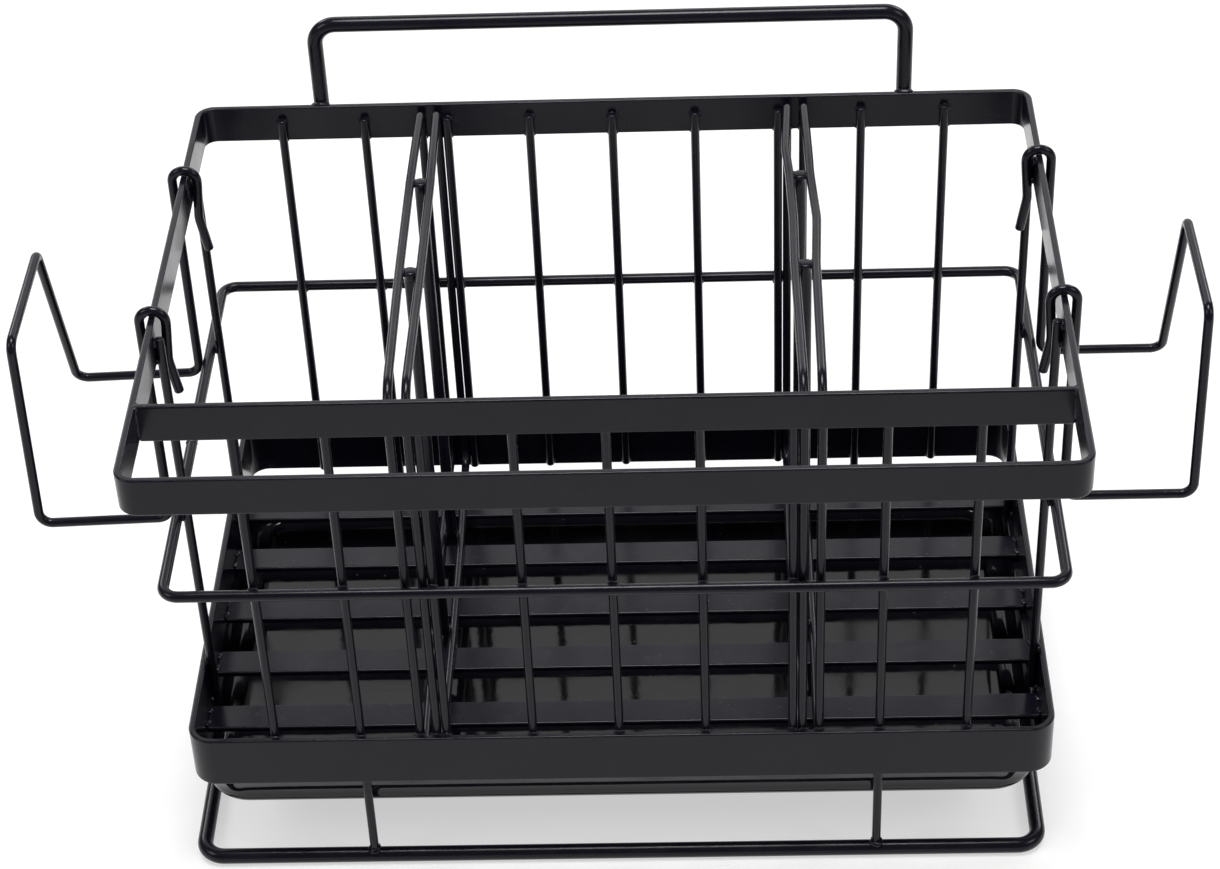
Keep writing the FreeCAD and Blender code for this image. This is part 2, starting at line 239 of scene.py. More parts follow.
class TraySizes(PropertyGroup):
    wall: distance("Wall", "Thickness of the tray's wall", 1.2)
    floor: distance("Floor", "Thickness of the tray's floor", 1.4)
    lip: distance("Rim width", "Rim's overhang outside the wall", 2.4)
    rim: distance("Rim thickness", "Thickness of the rim", 1.6)
    corner_r: distance("Corner", "Outer corner radius of the wall", 15.0)
    foot_r: distance("Foot rounding", "Rounding between wall and floor, outside", 5.0)
    draft: distance("Draft", "How much narrower the tray is at its foot", 0.5)
    rise: distance("Floor rise", "How far the floor's panel stands above its gutter", 5.3)
    gutter: distance("Gutter", "Outside of the wall to the floor's panel", 8.0)
    wave: distance("Waviness", "Unevenness of the moulded floor", 0.14)


class FinishColours(PropertyGroup):
    powder: tint("Powder coat", "Colour of the powder coat", (0.0047, 0.0045, 0.0098))
    # colour of worn edges, which also paints a lighter edge highlight; also the light end of the
    # coat's random tone
    rubbed: tint("Rubbed coat", "Colour where edges are rubbed", (0.020, 0.020, 0.025))
    dust: tint("Dust", "Colour of settled dust", (0.16, 0.155, 0.15))
    tray: tint("Tray", "Colour of the moulded tray", (0.0040, 0.0040, 0.0065))
    floor: tint("Floor", "Colour of the studio floor", (0.50, 0.50, 0.50))


class StageSettings(PropertyGroup):
    lens: FloatProperty(name="Lens", description="Focal length in millimetres on a 36 mm sensor",
                        default=87.14)
    eye: FloatVectorProperty(name="Camera place", description="Where the camera stands",
                             default=(0.02976, -0.72193, 0.69884), size=3,
                             unit="LENGTH", subtype="XYZ")
    yaw: angle("Yaw", "Camera's turn to the left", 2.473)
    pitch: angle("Pitch", "How far the camera looks down", 38.491)
    roll: angle("Roll", "Camera's roll", -2.618)
    overhead: power("Overhead light", "Power of the overhead softbox", 11.0)
    backdrop: power("Backdrop light", "Power of the wide light behind", 28.0)
    front: power("Front lights", "Power of each softbox at the front", 3.5)
    rear: power("Rear lights", "Power of each softbox at the back", 3.5)
    surround: FloatProperty(name="Surround", description="Brightness of the studio around",
                            default=0.15)


SETTINGS = {
    "rack_wires": WireSizes, "rack_welds": WeldSizes, "rack_bars": BarSizes,
    "rack_dividers": DividerSizes, "rack_rings": RingSizes, "rack_hangers": HangerSizes,
    "rack_tray": TraySizes, "rack_finish": FinishColours, "rack_stage": StageSettings,
}


def sizes(name):
    return getattr(bpy.context.scene, "rack_" + name)


# -------------------------------------------------------------------- mesh building
class Shell:
    """Vertices and faces of one piece, with each vertex's wear mask, which also places a painted
    edge highlight, and how welded it is.
    """

    def __init__(self):
        self.verts, self.faces, self.rub, self.weld = [], [], [], []

    def add(self, verts, faces, rub, weld=0.0):
        base = len(self.verts)
        self.verts.extend(map(tuple, verts))
        self.faces.extend([tuple(base + i for i in face) for face in faces])
        self.rub.extend(rub)
        self.weld.extend([weld] * len(verts))

    def piece(self, node, name):
        """Makes the object that takes the node's place, with the finish of the node's slot."""
        mesh = bpy.data.meshes.new(name)
        mesh.from_pydata(self.verts, [], self.faces)
        for attribute, values in (("rub", self.rub), ("weld", self.weld)):
            points = mesh.attributes.new(attribute, "FLOAT", "POINT")
            points.data.foreach_set("value", values)
        tidy = bmesh.new()
        tidy.from_mesh(mesh)
        bmesh.ops.recalc_face_normals(tidy, faces=tidy.faces)
        tidy.to_mesh(mesh)
        tidy.free()
        mesh.shade_smooth()
        obj = bpy.data.objects.new(name, mesh)
        bpy.context.scene.collection.objects.link(obj)
        obj.data.materials.append(finish(SLOT_OF[node]))
        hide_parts(node)
        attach(obj, BODY_OF[node])


def unit(v):
    return v / np.linalg.norm(v)


def bent_path(points, bends=(), closed=False, spacing=None):
    """Points along straight runs joined by tangent arcs, one bend radius for each corner."""
    spacing = spacing or sizes("wires").spacing
    pts = [np.array(p, float) for p in points]
    n = len(pts)
    corners = range(n) if closed else range(1, n - 1)
    arcs = {}
    for k, i in enumerate(corners):
        u, w = unit(pts[i] - pts[i - 1]), unit(pts[(i + 1) % n] - pts[i])
        turn = math.acos(max(-1.0, min(1.0, float(u @ w))))
        radius = bends[k] if hasattr(bends, "__len__") else bends
        if turn < 1e-4:
            arcs[i] = [pts[i]]
            continue
        cut = radius * math.tan(turn / 2.0)
        inward = unit(w - u * float(u @ w))
        start = pts[i] - u * cut
        centre = start + inward * radius
        steps = max(3, math.ceil(turn / ARC_STEP))
        turns = [turn * j / steps for j in range(steps + 1)]
        arcs[i] = [centre + radius * (u * math.sin(t) - inward * math.cos(t)) for t in turns]
    path = []
    for i in range(n if closed else n - 1):
        j = (i + 1) % n
        a = arcs[i][-1] if i in arcs else pts[i]
        b = arcs[j][0] if j in arcs else pts[j]
        count = max(1, round(float(np.linalg.norm(b - a)) / spacing))
        first = 1 if i in arcs else 0
        path.extend(a + (b - a) * k / count for k in range(first, count))
        path.extend(arcs[j] if j in arcs else [b])
    return np.array(path)


def section_axes(path, closed, up):
    """Two axes across the path at each point, carried along without twist."""
    if closed:
        ahead, behind = np.roll(path, -1, 0), np.roll(path, 1, 0)
    else:
        ahead = np.vstack([path[1:], path[-1:]])
        behind = np.vstack([path[:1], path[:-1]])
    along = ahead - behind
    along /= np.linalg.norm(along, axis=1)[:, None]
    side = np.zeros_like(path)
    up = np.array(up, float)
    side[0] = unit(up - along[0] * float(along[0] @ up))
    for i in range(1, len(path)):
        side[i] = unit(side[i - 1] - along[i] * float(side[i - 1] @ along[i]))
    out = np.cross(along, side)
    if closed:
        last = unit(side[-1] - along[0] * float(side[-1] @ along[0]))
        twist = math.atan2(float(last @ out[0]), float(last @ side[0]))
        turn = (-twist * np.arange(len(path)) / len(path))[:, None]
        side, out = (side * np.cos(turn) + out * np.sin(turn),
                     out * np.cos(turn) - side * np.sin(turn))
    return side, out


def ring_faces(rings, count, closed):
    faces = []
    for i in range(rings if closed else rings - 1):
        a, b = i * count, ((i + 1) % rings) * count
        faces.extend((a + k, a + (k + 1) % count, b + (k + 1) % count, b + k)
                     for k in range(count))
    if not closed:
        faces.append(tuple(reversed(range(count))))
        faces.append(tuple((rings - 1) * count + k for k in range(count)))
    return faces


def sweep(shell, path, section, rub, closed=False, up=(0, 0, 1), girth=None):
    """Carries a section along a path. rub has a value for each section point or each vertex."""
    side, out = section_axes(path, closed, up)
    section = np.array(section)
    girth = np.ones((len(path), 2)) if girth is None else np.asarray(girth, float)
    verts = (path[:, None, :] + section[None, :, :1] * girth[:, None, :1] * side[:, None, :]
             + section[None, :, 1:] * girth[:, None, 1:] * out[:, None, :]).reshape(-1, 3)
    rub = np.asarray(rub, float)
    if rub.shape != (len(verts),):
        rub = np.tile(rub, len(path))
    shell.add(verts, ring_faces(len(path), len(section), closed), rub)


def round_section(radius):
    count = sizes("wires").sides
    turns = [2.0 * math.pi * k / count for k in range(count)]
    return [(radius * math.cos(turn), radius * math.sin(turn)) for turn in turns]


def bar_section(height, thickness, radius):
    """A rectangle with rounded corners, each between two points that keep the flats flat."""
    points, rub = [], []
    keep = radius * FLAT_KEEP
    for corner, (sx, sy) in enumerate(((1, 1), (-1, 1), (-1, -1), (1, -1))):
        cx, cy = sx * (height / 2.0 - radius), sy * (thickness / 2.0 - radius)
        start = corner * QUARTER
        turns = [start + QUARTER * k / EDGE_STEPS for k in range(EDGE_STEPS + 1)]
        arc = [(cx + radius * math.cos(turn), cy + radius * math.sin(turn)) for turn in turns]
        before = (arc[0][0] + keep * math.sin(start), arc[0][1] - keep * math.cos(start))
        after = (arc[-1][0] + keep * math.cos(start + QUARTER + QUARTER),
                 arc[-1][1] + keep * math.sin(start + QUARTER + QUARTER))
        points.extend([before] + arc + [after])
        # the mask peaks on each rounded edge: edge wear and a painted edge highlight
        rub.extend([0.0] + [math.sin(math.pi * k / EDGE_STEPS) for k in range(EDGE_STEPS + 1)]
                   + [0.0])
    return points, rub


def cut_wire(path, radius, end_swell=0.0, swell_length=0.0):
    """Adds a cropped wire's rounded rims. Returns path, girth and the wear and painted highlight
    mask for each ring.
    """
    rim = sizes("wires").cut_share * radius
    profile = [(CUT_DISH[0] * radius, CUT_DISH[1], 0.0)]
    for k in reversed(range(CUT_STEPS + 1)):
        turn = QUARTER * k / CUT_STEPS
        profile.append((rim * (1.0 - math.sin(turn)),
                        (radius - rim + rim * math.cos(turn)) / radius,
                        math.sin(math.pi * k / CUT_STEPS)))
    depths, widths, rubs = zip(*profile)
    head, tail = unit(path[1] - path[0]), unit(path[-2] - path[-1])
    first = [path[0] + head * depth for depth in depths]
    last = [path[-1] + tail * depth for depth in reversed(depths)]
    if end_swell:
        last.insert(0, path[-1] + tail * swell_length)
    ring_path = np.array(first + list(path[1:-1]) + last)
    plain = len(ring_path) - 2 * len(profile)
    swollen = [width * (1.0 + end_swell) for width in reversed(widths)]
    scale = np.array([*widths, *[1.0] * plain, *swollen])
    rub = np.array([*rubs, *[0.0] * plain, *reversed(rubs)])
    return ring_path, np.stack([scale, scale], 1), rub


def add_wire(shell, points, diameter, bends=(), closed=False, up=(0, 0, 1), **ends):
    """Round wire along the points: a closed ring, or cropped at both ends."""
    path = bent_path(points, bends, closed)
    section = round_section(diameter / 2.0)
    if closed:
        sweep(shell, path, section, [0.0] * len(section), True, up)
        return
    ring_path, girth, rub = cut_wire(path, diameter / 2.0, **ends)
    sweep(shell, ring_path, section, np.repeat(rub, len(section)), False, up, girth)


def add_weld(shell, centre, reach, seed):
    """A lump of weld metal: an uneven ball of the given half sizes."""
    lumps = sizes("welds").lumps
    ball = bmesh.new()
    bmesh.ops.create_icosphere(ball, subdivisions=3, radius=1.0)
    verts = []
    for v in ball.verts:
        place = v.co * LUMP_SIZE + Vector([seed * step for step in LUMP_SEED])
        swell = 1.0 + lumps * noise.noise(place)
        verts.append(tuple(c + v.co[i] * reach[i] * swell for i, c in enumerate(centre)))
    faces = [tuple(v.index for v in f.verts) for f in ball.faces]
    ball.free()
    shell.add(verts, faces, [WELD_RUB_AND_HIGHLIGHT] * len(verts), 1.0)


def weld_beside(shell, centre, across, length, seed):
    """Weld metal showing at both sides of a wire that lies against a bar; across is 'x' or 'y'."""
    w = sizes("welds")
    wide, thin = WIRE_D / 2.0 + w.spread, w.height
    reach = (wide, thin, length) if across == "x" else (thin, wide, length)
    add_weld(shell, centre, reach, seed)


def seeded(node):
    return random.Random(sum(ord(c) * (i + 1) for i, c in enumerate(node)))


# ------------------------------------------------------------------------- finishes
def new_group(name, inputs, outputs):
    """An empty node group. inputs are (name, socket type, default), outputs (name, type)."""
    group = bpy.data.node_groups.new(name, "ShaderNodeTree")
    for label, kind, default in inputs:
        socket = group.interface.new_socket(label, in_out="INPUT",
                                            socket_type="NodeSocket" + kind)
        socket.default_value = default
    for label, kind in outputs:
        group.interface.new_socket(label, in_out="OUTPUT", socket_type="NodeSocket" + kind)
    return group, group.nodes.new("NodeGroupInput"), group.nodes.new("NodeGroupOutput")


def add_node(tree, kind, **settings):
    node = tree.nodes.new("ShaderNode" + kind)
    for key, value in settings.items():
        setattr(node, key, value)
    return node


def maths(tree, operation, a, b=None, clamp=False):
    """A Math node; a and b are sockets or numbers."""
    node = add_node(tree, "Math", operation=operation, use_clamp=clamp)
    for socket, value in zip(node.inputs, (a, b)):
        if value is None:
            continue
        if isinstance(value, (int, float)):
            socket.default_value = value
        else:
            tree.links.new(value, socket)
    return node.outputs[0]


def noise_value(tree, coords, scale, detail, roughness=0.5):
    node = add_node(tree, "TexNoise")
    tree.links.new(coords, node.inputs["Vector"])
    node.inputs["Detail"].default_value = detail
    node.inputs["Roughness"].default_value = roughness
    if isinstance(scale, (int, float)):
        node.inputs["Scale"].default_value = scale
    else:
        tree.links.new(scale, node.inputs["Scale"])
    return node.outputs["Fac"]


def stepped(tree, value, low, high, out_low=0.0, out_high=1.0):
    node = add_node(tree, "MapRange", interpolation_type="SMOOTHSTEP")
    tree.links.new(value, node.inputs["Value"])
    limits = (("From Min", low), ("From Max", high), ("To Min", out_low), ("To Max", out_high))
    for label, number in limits:
        node.inputs[label].default_value = number
    return node.outputs["Result"]


def skin_texture(name):
    """Orange peel and fine grit of a sprayed or moulded skin, as a height and a roughness."""
    group, given, made = new_group(
        name,
        [("Peel Scale", "Float", 900.0), ("Peel", "Float", 0.6), ("Grit Scale", "Float", 4200.0),
         ("Grit", "Float", 0.4)],
        [("Height", "Float"), ("Roughness Change", "Float")])
    coords = add_node(group, "TexCoord").outputs["Object"]
    peel = noise_value(group, coords, given.outputs["Peel Scale"], 2.0)
    grit = noise_value(group, coords, given.outputs["Grit Scale"], 3.0, 0.6)
    height = maths(group, "ADD", maths(group, "MULTIPLY", peel, given.outputs["Peel"]),
                   maths(group, "MULTIPLY", grit, given.outputs["Grit"]))
    group.links.new(height, made.inputs["Height"])
    patches = noise_value(group, coords, 46.0, 4.0, 0.55)
    change = maths(group, "MULTIPLY", maths(group, "SUBTRACT", patches, 0.5), 0.20)
    group.links.new(change, made.inputs["Roughness Change"])


def tone_variation(name):
    """Slow change of colour over a part, from a base colour towards a lighter one."""
    group, given, made = new_group(
        name,
        [("Base", "Color", (0.01, 0.01, 0.01, 1.0)), ("Light", "Color", (0.03, 0.03, 0.03, 1.0)),
         ("Scale", "Float", 60.0), ("Amount", "Float", 0.3)],
        [("Color", "Color")])
    coords = add_node(group, "TexCoord").outputs["Object"]
    cloud = stepped(group, noise_value(group, coords, given.outputs["Scale"], 5.0, 0.6), 0.35, 0.75)
    mix = add_node(group, "Mix", data_type="RGBA")
    group.links.new(maths(group, "MULTIPLY", cloud, given.outputs["Amount"]), mix.inputs["Factor"])
    group.links.new(given.outputs["Base"], mix.inputs["A"])
    group.links.new(given.outputs["Light"], mix.inputs["B"])
    group.links.new(mix.outputs["Result"], made.inputs["Color"])


def edge_rub(name):
    """Mask of edges and cut ends worn by handling, where the colour is also lightened as a painted
    highlight, broken up by noise.
    """
    group, given, made = new_group(
        name, [("Amount", "Float", 0.5), ("Break Up", "Float", 350.0)], [("Mask", "Float")])
    rub = add_node(group, "Attribute", attribute_name="rub").outputs["Fac"]
    coords = add_node(group, "TexCoord").outputs["Object"]
    broken = stepped(group, noise_value(group, coords, given.outputs["Break Up"], 4.0, 0.65),
                     0.38, 0.66)
    mask = maths(group, "MULTIPLY", maths(group, "MULTIPLY", rub, broken),
                 given.outputs["Amount"], True)
    group.links.new(mask, made.inputs["Mask"])


def settled_dust(name):
    """Mask of fine dust on what faces up, with a few lint specks."""
    group, given, made = new_group(
        name, [("Amount", "Float", 0.2), ("Specks", "Float", 0.5)], [("Mask", "Float")])
    facing = add_node(group, "SeparateXYZ")
    group.links.new(add_node(group, "NewGeometry").outputs["Normal"], facing.inputs[0])
    upward = stepped(group, facing.outputs["Z"], 0.35, 0.95)
    coords = add_node(group, "TexCoord").outputs["Object"]
    film = stepped(group, noise_value(group, coords, 120.0, 6.0, 0.7), 0.45, 0.8)
    speck = add_node(group, "TexVoronoi", feature="F1")
    speck.inputs["Scale"].default_value = 150.0
    group.links.new(coords, speck.inputs["Vector"])
    dots = maths(group, "MULTIPLY", stepped(group, speck.outputs["Distance"], 0.05, 0.09, 1.0, 0.0),
                 given.outputs["Specks"])
    both = maths(group, "MAXIMUM", maths(group, "MULTIPLY", film, given.outputs["Amount"]), dots)
    group.links.new(maths(group, "MULTIPLY", both, upward, True), made.inputs["Mask"])


def place_group(tree, build, **values):
    """A node of the group that a function builds, built the first time it is asked for."""
    name = build.__name__
    if name not in bpy.data.node_groups:
        build(name)
    node = tree.nodes.new("ShaderNodeGroup")
    node.node_tree = bpy.data.node_groups[name]
    for label, value in values.items():
        node.inputs[label.replace("_", " ")].default_value = value
    return node


def mixed(tree, factor, a, b):
    """A colour mix; b is a colour, a is a socket."""
    mix = add_node(tree, "Mix", data_type="RGBA")
    tree.links.new(factor, mix.inputs["Factor"])
    tree.links.new(a, mix.inputs["A"])
    mix.inputs["B"].default_value = b
    return mix.outputs["Result"]


def opaque(colour):
    return (*colour, 1.0)


def new_material(name):
    material = bpy.data.materials.new(name)
    material.use_nodes = True
    tree = material.node_tree
    return material, tree, tree.nodes["Principled BSDF"]


WELD_ROUGHER, DUST_ROUGHER, RUB_SMOOTHER = 0.05, 0.5, 0.10   # changes of roughness
TRAY_ROUGHNESS = (0.055, 0.15)                               # clean and smeared
DRAWN_SCALE = (40.0, 1500.0, 1500.0)                         # lines drawn along the flat bar
SCRATCH_SCALE = (30.0, 2600.0, 30.0)
SCRATCH_TURN = math.radians(17.0)


def powder_coat(name, roughness, peel_scale, peel, rub_amount, tone_scale, drawn_lines=0.0):
    """Satin black powder coat over steel."""
    colours = sizes("finish")
    material, tree, shader = new_material(name)
    tone = place_group(tree, tone_variation, Base=opaque(colours.powder),
                       Light=opaque(colours.rubbed),
                       Scale=tone_scale, Amount=0.16)
    rub = place_group(tree, edge_rub, Amount=rub_amount)
    dust = place_group(tree, settled_dust, Amount=0.05, Specks=0.10)
    skin = place_group(tree, skin_texture, Peel_Scale=peel_scale, Peel=peel)
    # edges and cut ends lightened: wear, and a painted edge highlight
    colour = mixed(tree, rub.outputs["Mask"], tone.outputs["Color"], opaque(colours.rubbed))
    colour = mixed(tree, dust.outputs["Mask"], colour, opaque(colours.dust))
    tree.links.new(colour, shader.inputs["Base Color"])
    weld = add_node(tree, "Attribute", attribute_name="weld").outputs["Fac"]
    rough = maths(tree, "ADD", skin.outputs["Roughness Change"], roughness)
    rough = maths(tree, "ADD", rough, maths(tree, "MULTIPLY", weld, WELD_ROUGHER))
    rough = maths(tree, "ADD", rough, maths(tree, "MULTIPLY", dust.outputs["Mask"], DUST_ROUGHER))
    smoother = maths(tree, "MULTIPLY", rub.outputs["Mask"], RUB_SMOOTHER)
    rough = maths(tree, "SUBTRACT", rough, smoother, True)
    tree.links.new(rough, shader.inputs["Roughness"])
    height = skin.outputs["Height"]
    if drawn_lines:
        stretch = add_node(tree, "Mapping")
        stretch.inputs["Scale"].default_value = DRAWN_SCALE
        tree.links.new(add_node(tree, "TexCoord").outputs["Object"], stretch.inputs["Vector"])
        lines = noise_value(tree, stretch.outputs["Vector"], 1.0, 2.0)
        height = maths(tree, "ADD", height, maths(tree, "MULTIPLY", lines, drawn_lines))
    bump = add_node(tree, "Bump")
    bump.inputs["Strength"].default_value = 0.22
    bump.inputs["Distance"].default_value = 0.03 * MM
    tree.links.new(height, bump.inputs["Height"])
    tree.links.new(bump.outputs["Normal"], shader.inputs["Normal"])
    shader.inputs["Specular IOR Level"].default_value = 0.17
    shader.inputs["Coat Weight"].default_value = 0.12
    shader.inputs["Coat Roughness"].default_value = 0.22
    return material


def gloss_plastic(name):
    """High-gloss black moulded plastic with faint flow marks, smears and fine scratches."""
    colours = sizes("finish")
    material, tree, shader = new_material(name)
    coords = add_node(tree, "TexCoord").outputs["Object"]
    tone = place_group(tree, tone_variation, Base=opaque(colours.tray),
                       Light=opaque(colours.powder),
                       Scale=25.0, Amount=0.25)
    dust = place_group(tree, settled_dust, Amount=0.03, Specks=0.16)
    rub = place_group(tree, edge_rub, Amount=0.35, Break_Up=500.0)
    # the rim's edge lightened: wear, and a painted highlight
    colour = mixed(tree, rub.outputs["Mask"], tone.outputs["Color"], opaque(colours.powder))
    colour = mixed(tree, dust.outputs["Mask"], colour, opaque(colours.dust))
    tree.links.new(colour, shader.inputs["Base Color"])
    smear = stepped(tree, noise_value(tree, coords, 22.0, 6.0, 0.62), 0.48, 0.72, *TRAY_ROUGHNESS)
    rough = maths(tree, "ADD", smear, maths(tree, "MULTIPLY", dust.outputs["Mask"], DUST_ROUGHER),
                  True)
    tree.links.new(rough, shader.inputs["Roughness"])
    stretch = add_node(tree, "Mapping")
    stretch.inputs["Rotation"].default_value = (0.0, 0.0, SCRATCH_TURN)
    stretch.inputs["Scale"].default_value = SCRATCH_SCALE
    tree.links.new(coords, stretch.inputs["Vector"])
    scratch = stepped(tree, noise_value(tree, stretch.outputs["Vector"], 1.0, 2.0), 0.66, 0.78)
    skin = place_group(tree, skin_texture, Peel_Scale=140.0, Peel=1.6, Grit=0.03)
    height = maths(tree, "SUBTRACT", skin.outputs["Height"], maths(tree, "MULTIPLY", scratch, 0.12))
    bump = add_node(tree, "Bump")
    bump.inputs["Strength"].default_value = 0.18
    bump.inputs["Distance"].default_value = 0.10 * MM
    tree.links.new(height, bump.inputs["Height"])
    tree.links.new(bump.outputs["Normal"], shader.inputs["Normal"])
    shader.inputs["IOR"].default_value = 1.46
    shader.inputs["Specular IOR Level"].default_value = 0.30
    return material


def floor_paper(name):
    """Matt pale studio paper."""
    colours = sizes("finish")
    material, tree, shader = new_material(name)
    tone = place_group(tree, tone_variation, Base=opaque(colours.floor),
                       Light=opaque([c * 0.985 for c in colours.floor]), Scale=9.0, Amount=0.6)
    tree.links.new(tone.outputs["Color"], shader.inputs["Base Color"])
    shader.inputs["Roughness"].default_value = 0.9
    shader.inputs["Specular IOR Level"].default_value = 0.15
    shader.inputs["Emission Color"].default_value = (1.0, 1.0, 1.0, 1.0)
    shader.inputs["Emission Strength"].default_value = 0.55
    return material


# slot: builder, name and, for powder coat, roughness, peel scale, peel, edge wear with its painted
# highlight, tone scale and drawn lines
FINISHES = {
    "flat_bar": (powder_coat, "powder_coat_flat_bar", 0.20, 760.0, 0.7, 0.45, 55.0, 0.35),
    "wire": (powder_coat, "powder_coat_wire", 0.23, 1100.0, 0.6, 0.5, 80.0),
    "heavy_wire": (powder_coat, "powder_coat_heavy_wire", 0.22, 820.0, 0.7, 0.5, 60.0),
    "hanger": (powder_coat, "powder_coat_hanger", 0.18, 1000.0, 0.55, 0.6, 70.0),
    "tray": (gloss_plastic, "gloss_tray_plastic"),
    "floor": (floor_paper, "studio_paper"),
}


def finish(slot):
    """The material of a slot, built the first time it is asked for."""
    build, name, *values = FINISHES[slot]
    return bpy.data.materials.get(name) or build(name, *values)


# --------------------------------------------------------------------------- pieces
def centre_of(lo, hi):
    return [(a + b) / 2.0 for a, b in zip(lo, hi)]


def level_corners(x0, x1, y0, y1, z):
    return [(x0, y0, z), (x1, y0, z), (x1, y1, z), (x0, y1, z)]


def band_piece(node, corner_r):
    """A closed ring of flat bar on edge, with the swelling of its own butt weld."""
    edge_r = sizes("bars").edge_r
    lo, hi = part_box(node)
    half = BAR_T / 2.0
    z = centre_of(lo, hi)[2]
    x0, x1, y0, y1 = lo.x + half, hi.x - half, lo.y + half, hi.y - half
    shell = Shell()
    path = bent_path(level_corners(x0, x1, y0, y1, z), corner_r - half, True)
    section, rub = bar_section(hi.z - lo.z, BAR_T, edge_r)
    sweep(shell, path, section, rub, True)
    swell = 1.0 + sizes("welds").butt_swell
    seam = (x0 + BAND_SEAM_PLACE * (x1 - x0), y1, z)
    add_weld(shell, seam, (SEAM_LENGTH, half * swell, (hi.z - lo.z) / 2.0 - edge_r), len(node))
    shell.piece(node, node + "_bar")


def straight_bar(shell, a, b, height, thickness, up, corner_r=0.0):
    """Flat bar from a to b. corner_r rounds its sheared corners across the height."""
    edge_r = sizes("bars").edge_r
    a, b = np.array(a, float), np.array(b, float)
    along = unit(b - a)
    section, rub = bar_section(height, thickness, edge_r)
    end = max(corner_r, edge_r)
    depths, girth = [], []
    for k in reversed(range(SHEAR_STEPS + 1)):
        turn = QUARTER * k / SHEAR_STEPS
        tuck = 1.0 - math.cos(turn)
        depths.append(end * (1.0 - math.sin(turn)))
        girth.append((1.0 - 2.0 * (end * tuck) / height,
                      1.0 - 2.0 * (edge_r * tuck * SHEAR_THINNING) / thickness))
    body = bent_path([a + along * end, b - along * end], spacing=BAR_SPACING)[1:-1]
    path = ([a + along * depth for depth in depths] + list(body)
            + [b - along * depth for depth in reversed(depths)])
    scale = girth + [(1.0, 1.0)] * len(body) + girth[::-1]
    sweep(shell, np.array(path), section, rub, False, up, scale)


class RACK_OT_flat_bars(Operator):
    """Builds the top band, the pocket bar, the bottom band and the floor slats"""
    bl_idname = "rack.flat_bars"
    bl_label = "Flat bars"

    def execute(self, context):
        bars = sizes("bars")
        band_piece("top_band", bars.top_corner_r)
        band_piece("bottom_band", bars.bottom_corner_r)
        lo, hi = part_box("pocket_bar")
        _, y, z = centre_of(lo, hi)
        shell = Shell()
        straight_bar(shell, (lo.x, y, z), (hi.x, y, z), BAR_H, BAR_T, (0, 0, 1))
        for x, s in ((lo.x, -1.0), (hi.x, 1.0)):
            add_weld(shell, (x, y, z), POCKET_END_WELD, 11 + s)
            add_weld(shell, (x, y, hi.z - POCKET_TOP_DROP), POCKET_TOP_WELD, 17 + s)
        shell.piece("pocket_bar", "pocket_bar_bar")
        for node in nodes_named("floor_slat_"):
            lo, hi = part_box(node)
            _, y, z = centre_of(lo, hi)
            width = hi.y - lo.y
            shell = Shell()
            straight_bar(shell, (lo.x, y, z), (hi.x, y, z), width, hi.z - lo.z, (0, 1, 0),
                         bars.slat_corner_r)
            for x, s in ((lo.x, -1.0), (hi.x, 1.0)):
                for k, share in enumerate(SLAT_WELD_PLACES):
                    place = (x - s * SLAT_WELD_IN, y + share * width, hi.z - SLAT_WELD_SINK)
                    add_weld(shell, place, SLAT_WELD, y * 90.0 + k + s)
            shell.piece(node, node + "_bar")
        return {"FINISHED"}


def upright_piece(node):
    """An upright with its welds on both bands, the hoop and, where it is long, the foot."""
    lo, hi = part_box(node)
    x, y, _ = centre_of(lo, hi)
    r = (hi.x - lo.x) / 2.0
    pick = seeded(node)
    top = hi.z - pick.random() * sizes("wires").cut_scatter
    shell = Shell()
    add_wire(shell, [(x, y, lo.z), (x, y, top)], hi.x - lo.x, up=(0, 1, 0))
    if node.startswith("side"):
        across, face = "y", (x + math.copysign(r, x), y)
    else:
        across, face = "x", (x, y + (r if node.startswith("rear") else -r))
    low_lo, low_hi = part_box("bottom_band")
    levels = (top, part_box("top_band")[0].z, middle("middle_hoop").z, low_hi.z, low_lo.z)
    for k, (level, (shift, length)) in enumerate(zip(levels, UPRIGHT_WELDS)):
        length *= WELD_LEAST + WELD_SPREAD * pick.random()
        weld_beside(shell, (*face, level + shift), across, length, pick.random() * SEED_SPAN + k)
    if lo.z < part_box("drip_tray")[0].z:
        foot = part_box("foot_ring")[1].z
        add_weld(shell, (x, y, foot + FOOT_WELD_LIFT), FOOT_WELD, pick.random() * SEED_SPAN)
        inward = 1.0 if node.startswith("front") else -1.0
        place = (x, y + inward * r, middle("tray_rail_front").z)
        add_weld(shell, place, TRAY_RAIL_WELD, pick.random() * SEED_SPAN)
    shell.piece(node, node + "_wire")


class RACK_OT_uprights(Operator):
    """Builds the front, rear and side upright wires with their welds"""
    bl_idname = "rack.uprights"
    bl_label = "Uprights"

    def execute(self, context):
        for start in ("front_upright_", "rear_upright_", "side_upright_"):
            for node in nodes_named(start):
                upright_piece(node)
        return {"FINISHED"}


